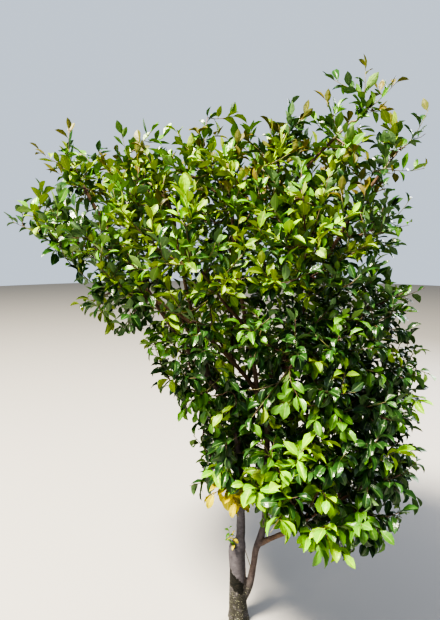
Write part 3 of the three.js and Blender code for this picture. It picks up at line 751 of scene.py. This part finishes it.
def joinLeaves(name, leaves, *materials):
    # one mesh of many leaves, each a copy of its shape at its own place
    parts = {key: [] for key in leafShapes[0]}
    tones = []
    count = dict(verts=0, edges=0, corners=0)
    for leaf in leaves:
        shape = leafShapes[leaf["shape"]]
        turned = shape["verts"] @ np.array(leaf["turn"]).T * leaf["length"] + np.array(leaf["base"])
        parts["verts"].append(turned)
        parts["edges"].append(shape["edges"] + count["verts"])
        parts["corners"].append(shape["corners"] + count["verts"])
        parts["sides"].append(shape["sides"] + count["edges"])
        parts["starts"].append(shape["starts"] + count["corners"])
        for key in ("slots", "sharp", "uv"):
            parts[key].append(shape[key])
        tones.append(np.full(len(turned), leaf["tone"]))
        for key in count:
            count[key] += len(shape[key])
    joined = {key: np.concatenate(values) for key, values in parts.items()}
    mesh = bpy.data.meshes.new(name)
    mesh.vertices.add(count["verts"])
    mesh.edges.add(count["edges"])
    mesh.loops.add(count["corners"])
    mesh.polygons.add(len(joined["starts"]))
    for array, (items, key, _, _) in meshArrays.items():
        getattr(mesh, items).foreach_set(key, joined[array].ravel())
    mesh.polygons.foreach_set("use_smooth", np.ones(len(joined["starts"]), bool))
    mesh.uv_layers.new(name="leafUV").data.foreach_set("uv", joined["uv"].ravel())
    mesh.attributes.new("tone", "FLOAT", "POINT").data.foreach_set("value", np.concatenate(tones))
    mesh.update()
    mesh.validate()
    return addObject(name, mesh, *materials)


# How leaves stand on the last part of a shoot. They droop low in the crown and stand up at
# its top. The first leaf is at the shoot's tip, and each later one is turned on by the
# golden angle.
leafRule = dict(
    seed=7, spacing=0.0115, tipSpacing=0.008, leadSpacing=0.015, spacingRange=(0.85, 1.2),
    tipLeaves=3, leafed=0.135, leadLeafed=0.17, bareShare=0.1,
    length=(0.036, 0.061), youngLength=(0.033, 0.05), brightGrowth=1.1,
    growth=[(0.75, 1.18), (1.1, 0.97), (1.5, 0.96), (1.85, 1.08)],
    spread=(0.7, 1.2), firstSpread=0.4, tipSpread=0.75,
    lift=(-0.32, 0.4), liftHeights=(0.85, 1.65), liftRange=(0.6, 1.4), firstLift=0.3,
    faceOut=0.12, faceUp=0.95, sway=0.34,
    inset=0.028, highInset=0.046, leadSlack=0.01, boxSlack=0.012, limbGap=0.004,
    highShapes=(0, 1, 4, 5), limeShapes=(0, 1, 2, 4), lowShapes=(1, 2, 3, 4),
)
goldenAngle = math.pi * (3 - math.sqrt(5))

# The kinds of leaf, and the share of each kind's sprays in the masses that differ.
usualKinds = dict(deep=0.46, green=0.34, fresh=0.17, lime=0.03)
massKinds = dict(
    sprig=dict(green=1),
    low_front=dict(deep=0.68, green=0.16, lime=0.16),
    low_left=dict(deep=0.55, green=0.35, lime=0.1),
    right_middle=dict(deep=0.66, green=0.28, fresh=0.06),
    middle_right=dict(deep=0.6, green=0.3, fresh=0.08, lime=0.02),
    middle_left=dict(deep=0.5, green=0.36, fresh=0.12, lime=0.02),
    back_low=dict(deep=0.6, green=0.3, lime=0.1),
    front=dict(deep=0.34, green=0.33, fresh=0.3, lime=0.03),
    front_right=dict(deep=0.42, green=0.3, fresh=0.25, lime=0.03),
    diagonal=dict(deep=0.62, green=0.22, fresh=0.14, lime=0.02),
    left_tip=dict(deep=0.5, green=0.3, fresh=0.2),
    right=dict(deep=0.58, green=0.28, fresh=0.14),
    centre=dict(deep=0.34, green=0.34, fresh=0.32),
)
for name in ("low_right", "right_low"):
    massKinds[name] = dict(deep=0.78, green=0.19, lime=0.03)
for name in ("left_top", "upper_left", "upper_right"):
    massKinds[name] = dict(deep=0.36, green=0.34, fresh=0.3)
for name in ("top", "right_top"):
    massKinds[name] = dict(deep=0.38, green=0.42, fresh=0.2)
# Above this height, the last leaves of some sprays are still bronze.
youngRule = dict(height=1.6, share=0.42, leaves=3)

# Patches of sprays that keep their own kinds: a few yellowed ones by the trunk, bright ones
# low at the front and fresh green ones high in the middle. These last are painted light:
# paler leaves where the front of the crown lies in shade.
kindPatches = [
    dict(place=(-0.024, -0.04, 0.392), reach=0.015, kinds=dict(gold=1)),
    dict(place=(-0.03, -0.12, 0.58), reach=0.12, kinds=dict(gold=0.5, lime=0.3, deep=0.2)),
    dict(place=(0.03, -0.34, 0.75), reach=0.11, kinds=dict(lime=0.5, fresh=0.15, deep=0.35)),
    dict(place=(0.15, -0.36, 0.69), reach=0.13, kinds=dict(lime=0.65, deep=0.35)),
    dict(place=(0.22, -0.36, 0.84), reach=0.08, kinds=dict(lime=0.6, deep=0.4)),
    dict(place=(0.24, -0.32, 0.56), reach=0.12, kinds=dict(lime=0.2, green=0.35, deep=0.45)),
    dict(place=(0.457, -0.3, 0.515), reach=0.05, kinds=dict(lime=0.6, green=0.4)),
    # paler leaves here paint light onto a shaded part of the crown
    dict(place=(0, -0.25, 1.62), reach=0.17, kinds=dict(fresh=0.5, green=0.4, deep=0.1)),
]

# Where the photograph lets the limbs show: the middle, half width and half height of each
# opening in the leaves, as seen from its camera on the plane through the trunk.
glimpses = [
    dict(x=0.047, z=0.983, wide=0.034, high=0.07),
    dict(x=-0.098, z=0.987, wide=0.033, high=0.065),
    dict(x=0.163, z=1.05, wide=0.02, high=0.075),
    dict(x=-0.008, z=0.733, wide=0.025, high=0.05),
    dict(x=0.1, z=0.694, wide=0.02, high=0.05),
    dict(x=0, z=1.225, wide=0.018, high=0.055),
]


def hidesLimbs(place):
    # whether a leaf there would cover a limb that one of the openings shows
    eye = Vector(view["place"])
    if place.y > 0:
        return False
    onPlane = eye + (place - eye) * eye.y / (eye.y - place.y)
    for glimpse in glimpses:
        across = (onPlane.x - glimpse["x"]) / glimpse["wide"]
        up = (onPlane.z - glimpse["z"]) / glimpse["high"]
        if math.hypot(across, up) < 1:
            return True
    return False


def kindOf(twig, draw):
    end = twig["course"][-1]
    shares = massKinds.get(twig["mass"], usualKinds)
    for patch in kindPatches:
        if (end - Vector(patch["place"])).length < patch["reach"]:
            shares = patch["kinds"]
            break
    return draw.choices(list(shares), weights=list(shares.values()))[0]


def leafTurn(out, base, draw):
    # the leaf's face looks away from the crown's middle and up
    rule = leafRule
    outwards = Vector((base.x - crown["axis"][0], base.y - crown["axis"][1], 0)).normalized()
    face = outwards * rule["faceOut"] + Vector((0, 0, rule["faceUp"]))
    face += Vector([draw.gauss(0, rule["sway"]) for _ in range(3)])
    face = (face - out * face.dot(out)).normalized()
    return Matrix((out.cross(face), out, face)).transposed()


def leafDirection(along, turn, high, number, draw):
    # out from the shoot, and down low in the crown or up high in it
    rule = leafRule
    side = along.orthogonal().normalized()
    side.rotate(Matrix.Rotation(turn, 3, along))
    spread = draw.uniform(*rule["spread"])
    lift = mix(*rule["lift"], high) * draw.uniform(*rule["liftRange"])
    if number == 0:
        spread *= rule["firstSpread"]
        lift *= rule["firstLift"]
    elif number < rule["tipLeaves"]:
        spread *= rule["tipSpread"]
    out = along * math.cos(spread) + side * math.sin(spread)
    out.z += lift
    return out.normalized()


def leafFits(base, tip, mass, inset):
    rule = leafRule
    middle = base.lerp(tip, 0.6)  # where the blade is widest
    if not isInBox(tip, rule["boxSlack"]):
        return False
    if mass != "sprig" and not isInCrown(tip, inset):
        return False
    return isClearOfLimbs(middle, rule["limbGap"]) and not hidesLimbs(middle)


def leavesOf(twig, draw):
    # from the shoot's end back along it
    rule = leafRule
    course, isLead = twig["course"], twig["isLead"]
    length = sum((end - start).length for start, end in zip(course, course[1:]))
    kind = kindOf(twig, draw)
    isYoung = course[-1].z > youngRule["height"] and draw.random() < youngRule["share"]
    leafed = rule["leadLeafed" if isLead else "leafed"]
    bare = max(rule["bareShare"] * length, length - leafed)
    leaves = []
    place, turn, number = length, draw.uniform(0, 2 * math.pi), 0
    while place > bare:
        base = pointAt(course, place / length)
        high = smoothStep(base.z, *rule["liftHeights"])
        out = leafDirection(directionAt(course, place / length), turn, high, number, draw)
        isBronze = isYoung and number < youngRule["leaves"]
        size = draw.uniform(*rule["youngLength" if isBronze else "length"])
        size *= twig.get("leafSize", np.interp(base.z, *zip(*rule["growth"])))
        if kind in ("lime", "gold"):
            size *= rule["brightGrowth"]
        inset = mix(rule["inset"], rule["highInset"], high)
        if isLead:
            inset = -rule["leadSlack"]
        if leafFits(base, base + out * size, twig["mass"], inset):
            shapes = rule["limeShapes" if kind == "lime" else "lowShapes"]
            if high > 0.5:
                shapes = rule["highShapes"]
            leaves.append(dict(
                kind="bronze" if isBronze else kind, base=base, turn=leafTurn(out, base, draw),
                length=size, shape=draw.choice(shapes), tone=draw.random()))
        number += 1
        turn += goldenAngle
        gap = rule["leadSpacing" if isLead else "spacing"]
        if number < rule["tipLeaves"]:
            gap = rule["tipSpacing"]
        place -= gap * draw.uniform(*rule["spacingRange"])
    return leaves


def rgb(code):
    # an sRGB hex colour as linear red, green, blue and alpha
    channels = [int(code[i:i + 2], 16) / 255 for i in (1, 3, 5)]
    return [c / 12.92 if c <= 0.04045 else ((c + 0.055) / 1.055) ** 2.4 for c in channels] + [1]


def cleared(holder):
    # a material or a world with no nodes yet
    holder.use_nodes = True
    holder.node_tree.nodes.clear()
    return holder


def addNode(material, kind, settings=None):
    # a setting may also be a node whose first output it takes, or a node and its output
    tree = material.node_tree
    node = tree.nodes.new("ShaderNode" + kind)
    for key, value in (settings or {}).items():
        source, output = value if isinstance(value, tuple) and len(value) == 2 else (value, 0)
        if isinstance(source, bpy.types.Node):
            tree.links.new(source.outputs[output], node.inputs[key])
        elif isinstance(key, int) or key in node.inputs:
            node.inputs[key].default_value = value
        else:
            setattr(node, key, value)
    return node


# Living camellia leaves: a waxy cuticle gives the upper face its gloss, and the paler lower
# face is nearly matt. Glow is the colour of light that comes through.
leafLooks = dict(
    deep=dict(face="#162e14", light="#284a1e", rib="#6a8a4c", under="#486438", glow="#88b036",
              roughness=0.28, through=0.1),
    green=dict(face="#3a661a", light="#588a24", rib="#8aaa50", under="#62823c", glow="#a4c838",
               roughness=0.36, through=0.17),
    fresh=dict(face="#567e0e", light="#789816", rib="#a8b84c", under="#72882a", glow="#b8cc2c",
               roughness=0.46, through=0.22),
    lime=dict(face="#62a204", light="#8ab808", rib="#bcd23c", under="#8aa82c", glow="#c0e218",
              roughness=0.42, through=0.26),
    bronze=dict(face="#424c12", light="#625a1a", rib="#8a7a3c", under="#545c20", glow="#a8961e",
                roughness=0.5, through=0.22),
    gold=dict(face="#a8a00e", light="#c2b416", rib="#dcd458", under="#aaa22e", glow="#dcd01c",
              roughness=0.46, through=0.26),
)

# Sizes of the pattern on a leaf: its middle rib's share of the width, the pairs of side
# veins and how far they slant forwards, and in metres the relief, the mottling and the
# gentle waves that break up its reflections.
leafDetail = dict(
    ribShare=0.06, veinPairs=8, veinSlant=1.5, veinFrom=0.72, veinShare=0.16, lineShare=0.85,
    veinRelief=0.0005, veinStrength=0.5, waves=0.011, waveRelief=0.003, waveStrength=0.7,
    mottle=0.012, mottleShare=0.6, underRoughness=0.55, cuticleIOR=1.42, underIOR=1.4,
)


def makeLeafMaterial(kind, isUpper):
    look, detail = leafLooks[kind], leafDetail
    material = cleared(bpy.data.materials.new(kind + ("LeafUpper" if isUpper else "LeafLower")))
    uv = addNode(material, "UVMap", {"uv_map": "leafUV"})
    across = addNode(material, "SeparateXYZ", {"Vector": uv})
    centred = addNode(material, "Math", {"operation": "SUBTRACT", 0: (across, "X"), 1: 0.5})
    aside = addNode(material, "Math", {"operation": "ABSOLUTE", 0: centred})
    rib = addNode(material, "MapRange",
                  {"Value": aside, "From Min": detail["ribShare"], "From Max": 0.0})
    slant = addNode(material, "Math", {
        "operation": "MULTIPLY_ADD", 0: aside, 1: -detail["veinSlant"] / 2, 2: (across, "Y")})
    turns = addNode(material, "Math", {
        "operation": "MULTIPLY", 0: slant, 1: detail["veinPairs"] * 2 * math.pi})
    wave = addNode(material, "Math", {"operation": "COSINE", 0: turns})
    vein = addNode(material, "MapRange",
                   {"Value": wave, "From Min": detail["veinFrom"], "From Max": 1.0})
    lines = addNode(material, "Math", {
        "operation": "MULTIPLY_ADD", 0: vein, 1: detail["veinShare"], 2: rib})
    faint = addNode(material, "Math", {"operation": "MULTIPLY", 0: lines, 1: detail["lineShare"]})

    # each leaf has a tone between the blade's two colours, and is a little mottled
    place = (addNode(material, "TexCoord"), "Object")
    mottle = addNode(material, "TexNoise", {
        "Vector": place, "Scale": 1 / detail["mottle"], "Detail": 3.0})
    varied = addNode(material, "Math", {
        "operation": "MULTIPLY_ADD", 0: mottle, 1: detail["mottleShare"],
        2: -detail["mottleShare"] / 2})
    tone = addNode(material, "Attribute", {"attribute_name": "tone"})
    blend = addNode(material, "Math", {
        "operation": "ADD", "use_clamp": True, 0: (tone, "Fac"), 1: varied})
    ends = ("face", "light") if isUpper else ("under", "under")
    blade = addNode(material, "Mix", {
        "data_type": "RGBA", 0: blend, 6: rgb(look[ends[0]]), 7: rgb(look[ends[1]])})
    colour = addNode(material, "Mix", {
        "data_type": "RGBA", 0: faint, 6: (blade, 2), 7: rgb(look["rib"])})

    relief = addNode(material, "Bump", {
        "Height": lines, "Strength": detail["veinStrength"], "Distance": detail["veinRelief"],
        "invert": isUpper})
    waves = addNode(material, "TexNoise", {
        "Vector": place, "Scale": 1 / detail["waves"], "Detail": 1.0})
    uneven = addNode(material, "Bump", {
        "Height": waves, "Strength": detail["waveStrength"], "Distance": detail["waveRelief"],
        "Normal": relief})
    surface = addNode(material, "BsdfPrincipled", {
        "Base Color": (colour, 2), "Normal": uneven,
        "Roughness": look["roughness"] if isUpper else detail["underRoughness"],
        "IOR": detail["cuticleIOR"] if isUpper else detail["underIOR"]})
    through = addNode(material, "BsdfTranslucent", {"Color": rgb(look["glow"])})
    both = addNode(material, "MixShader", {0: look["through"], 1: surface, 2: through})
    addNode(material, "OutputMaterial", {"Surface": both})
    return material


# Camellia bark: smooth and grey with a matt, powdery skin on old wood, and brown on thin
# limbs. Lichen dots and moss grow on the lowest part. There the moss colour is a very dark
# olive that is partly painted shade at the trunk's foot. Patch, lines, grain and fleck are the
# sizes of its patterns in metres, and lines and grain are drawn out along z. Ranges gives,
# for each share, the values of its pattern at which it begins and is full.
barkLook = dict(
    grey="#605c60", greyDark="#423f42", brown="#705a44", brownDark="#4a392f",
    # the moss colour is a very dark olive at the foot: partly real moss and partly painted shade
    lichen="#aeb094", mossAndShade="#25251a", wound="#0b0d0a", woundStreakAndShade="#2e2a22",
    patch=0.028, lines=0.012, grain=0.003, fleck=0.0045, stretch=5,
    ranges=dict(shade=(0.55, 0.95), thick=(0.0075, 0.016), low=(0.195, 0.135),
                mossAndShadePatches=(0.32, 0.5), dots=(0.34, 0.2), dotty=(0.5, 0.6), bare=(0.3, 0.6),
                streaks=(0.5, 0.72)),
    mostMossAndShade=0.85, roughness=0.82, IOR=1.35, relief=0.0012, reliefStrength=0.6,
)


def makeBarkMaterial():
    look = barkLook
    material = cleared(bpy.data.materials.new("camelliaBark"))
    place = (addNode(material, "TexCoord"), "Object")
    parts = addNode(material, "SeparateXYZ", {"Vector": place})
    girth = addNode(material, "Attribute", {"attribute_name": "girth"})
    # the wound's share: where its near-black colour paints the hollow's shade over bare wood
    wound = addNode(material, "Attribute", {"attribute_name": "wound"})
    patches = addNode(material, "TexNoise", {
        "Vector": place, "Scale": 1 / look["patch"], "Detail": 5.0,
        "Roughness": 0.6})
    drawnOut = addNode(material, "Mapping", {
        "Vector": place, "Scale": (1, 1, look["stretch"])})
    lines = addNode(material, "TexNoise", {
        "Vector": drawnOut, "Scale": 1 / look["lines"], "Detail": 4.0})
    mixed = addNode(material, "Math", {
        "operation": "MULTIPLY_ADD", 0: lines, 1: 0.5, 2: patches})
    flecks = addNode(material, "TexVoronoi", {
        "Vector": place, "Scale": 1 / look["fleck"]})
    patterns = dict(shade=mixed, thick=(girth, "Fac"), low=(parts, "Z"), mossAndShadePatches=patches,
                    dots=flecks, dotty=lines, bare=(wound, "Fac"), streaks=lines)
    share = {}
    for name, pattern in patterns.items():
        begin, full = look["ranges"][name]
        share[name] = addNode(material, "MapRange", {
            "Value": pattern, "From Min": begin, "From Max": full})
    # the moss share carries the painted shade at the trunk's foot as well as its moss
    share["mossAndShadePatches"].inputs["To Max"].default_value = look["mostMossAndShade"]
    for name, first, second in (("mossAndShade", "low", "mossAndShadePatches"), ("allDots", "dots", "dotty"),
                                ("lichen", "allDots", "low")):
        share[name] = addNode(material, "Math", {
            "operation": "MULTIPLY", 0: share[first], 1: share[second]})

    # brown and grey skin, then moss and lichen on it, the moss partly painted shade, and bare
    # wood with paler streaks, near black because it also paints the shade in the wound's hollow
    brown, grey, bareWoodAndShade = (
        addNode(material, "Mix", {
            "data_type": "RGBA", 0: share[by], 6: rgb(look[start]), 7: rgb(look[end])})
        for by, start, end in (("shade", "brownDark", "brown"), ("shade", "greyDark", "grey"),
                               ("streaks", "wound", "woundStreakAndShade")))
    colour = brown
    for name, over in (("thick", (grey, 2)), ("mossAndShade", rgb(look["mossAndShade"])),
                       # bare: the wound's near-black wood, partly painted shade in its hollow
                       ("lichen", rgb(look["lichen"])), ("bare", (bareWoodAndShade, 2))):
        colour = addNode(material, "Mix", {
            "data_type": "RGBA", 0: share[name], 6: (colour, 2), 7: over})

    grain = addNode(material, "TexNoise", {
        "Vector": drawnOut, "Scale": 1 / look["grain"], "Detail": 5.0, "Roughness": 0.65})
    height = addNode(material, "Math", {
        "operation": "MULTIPLY_ADD", 0: grain, 1: 0.5, 2: mixed})
    relief = addNode(material, "Bump", {
        "Height": height, "Strength": look["reliefStrength"], "Distance": look["relief"]})
    surface = addNode(material, "BsdfPrincipled", {
        "Base Color": (colour, 2), "Normal": relief, "Roughness": look["roughness"],
        "IOR": look["IOR"]})
    addNode(material, "OutputMaterial", {"Surface": surface})
    return material


# Young twigs: thin smooth bark, red-brown with greener stretches, and a grain of about a
# millimetre that only dulls the gloss.
twigLook = dict(brown="#523930", green="#65663a", stretch=0.05, greenRange=(0.42, 0.66),
                grain=1 / 900, relief=0.0003, reliefStrength=0.4, roughness=0.55, IOR=1.45)


def makeTwigMaterial():
    look = twigLook
    material = cleared(bpy.data.materials.new("youngTwigBark"))
    place = (addNode(material, "TexCoord"), "Object")
    stretch = addNode(material, "TexNoise", {
        "Vector": place, "Scale": 1 / look["stretch"], "Detail": 3.0})
    begin, full = look["greenRange"]
    share = addNode(material, "MapRange", {
        "Value": stretch, "From Min": begin, "From Max": full})
    colour = addNode(material, "Mix", {
        "data_type": "RGBA", 0: share, 6: rgb(look["brown"]), 7: rgb(look["green"])})
    grain = addNode(material, "TexNoise", {
        "Vector": place, "Scale": 1 / look["grain"], "Detail": 3.0})
    relief = addNode(material, "Bump", {
        "Height": grain, "Strength": look["reliefStrength"], "Distance": look["relief"]})
    surface = addNode(material, "BsdfPrincipled", {
        "Base Color": (colour, 2), "Normal": relief, "Roughness": look["roughness"],
        "IOR": look["IOR"]})
    addNode(material, "OutputMaterial", {"Surface": surface})
    return material


woodNodes = ["trunk", "second_stem"] + ["bough_" + bough["name"] for bough in boughs]
massNodes = ["leaves_" + bough["name"] for bough in boughs]

bark = makeBark()
bark.data.materials.append(makeBarkMaterial())
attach(bark, "root")
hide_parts(*woodNodes)
print("bark made:", len(bark.data.polygons), "faces")

leafDraw = random.Random(leafRule["seed"])
for twig in twigs:
    twig["leaves"] = leavesOf(twig, leafDraw) if twig["isLeafy"] else []
leaves = [leaf for twig in twigs for leaf in twig["leaves"]]
needed = [twig for twig in twigs if twig["leaves"] or twig["loads"] or twig["mass"] == "dead"]

twigPiece = makeTwigs("twigs", needed, makeTwigMaterial())
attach(twigPiece, "root")
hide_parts(*massNodes)
print("twigs made:", len(twigPiece.data.polygons), "faces")

mostLeaves = 2300  # in one piece
for kind in leafLooks:
    ofKind = [leaf for leaf in leaves if leaf["kind"] == kind]
    upper, lower = makeLeafMaterial(kind, True), makeLeafMaterial(kind, False)
    for start in range(0, len(ofKind), mostLeaves):
        name = f"leaves_{kind}_{start // mostLeaves + 1}"
        piece = joinLeaves(name, ofKind[start:start + mostLeaves], upper, lower)
        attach(piece, "root")
        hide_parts(*massNodes)
    print("leaves made:", kind, len(ofKind))
print("leaves in all:", len(leaves))

# A plain pale floor and soft studio light. The camera sees the backdrop's colour, and the
# sky's lights the shrub.
stageLook = dict(
    floorSize=14, floorSides=96, floor="#8d8b87", floorRoughness=0.9, sky="#d4e4fa",
    skyStrength=0.36, backdrop="#d3dfee", backdropStrength=0.85, look="AgX - High Contrast",
)
lights = dict(
    key=dict(place=(-3.4, -2.6, 9), target=(0, 0, 1.2), size=2, power=6000, colour="#fff4e0"),
    fill=dict(place=(-2.4, -4, 2.2), target=(0, 0, 1.1), size=2.4, power=80, colour="#eef3ff"),
    backFill=dict(place=(3.4, 2.6, 3), target=(0, 0, 1.1), size=2.4, power=280, colour="#f2f5ff"),
)


def makeStage():
    look = stageLook
    bm = bmesh.new()
    bmesh.ops.create_circle(
        bm, cap_ends=True, segments=look["floorSides"], radius=look["floorSize"])
    material = cleared(bpy.data.materials.new("paleFloor"))
    surface = addNode(material, "BsdfPrincipled", {
        "Base Color": rgb(look["floor"]), "Roughness": look["floorRoughness"]})
    addNode(material, "OutputMaterial", {"Surface": surface})
    addObject("floor", meshFrom(bm, "floor"), material)
    world = cleared(bpy.data.worlds.new("studio"))
    light, seen = (
        addNode(world, "Background", {
            "Color": rgb(look[name]), "Strength": look[name + "Strength"]})
        for name in ("sky", "backdrop"))
    rays = addNode(world, "LightPath")
    both = addNode(world, "MixShader", {0: (rays, "Is Camera Ray"), 1: light, 2: seen})
    addNode(world, "OutputWorld", {"Surface": both})
    bpy.context.scene.world = world
    bpy.context.scene.view_settings.look = look["look"]


def addLight(name, place, target, size, power, colour):
    light = bpy.data.lights.new(name, "AREA")
    light.size = size
    light.energy = power
    light.color = rgb(colour)[:3]
    lamp = addObject(name, light)
    lamp.location = place
    lamp.rotation_euler = (Vector(target) - Vector(place)).to_track_quat("-Z", "Y").to_euler()


makeStage()
for name, light in lights.items():
    addLight(name, **light)
print("stage and lights made")

camera = addObject("camera", bpy.data.cameras.new("camera"))
camera.data.lens = view["lens"]
camera.data.sensor_width = 36
camera.location = view["place"]
camera.rotation_euler = (math.radians(90 - view["tilt"]), 0, 0)
bpy.context.scene.camera = camera
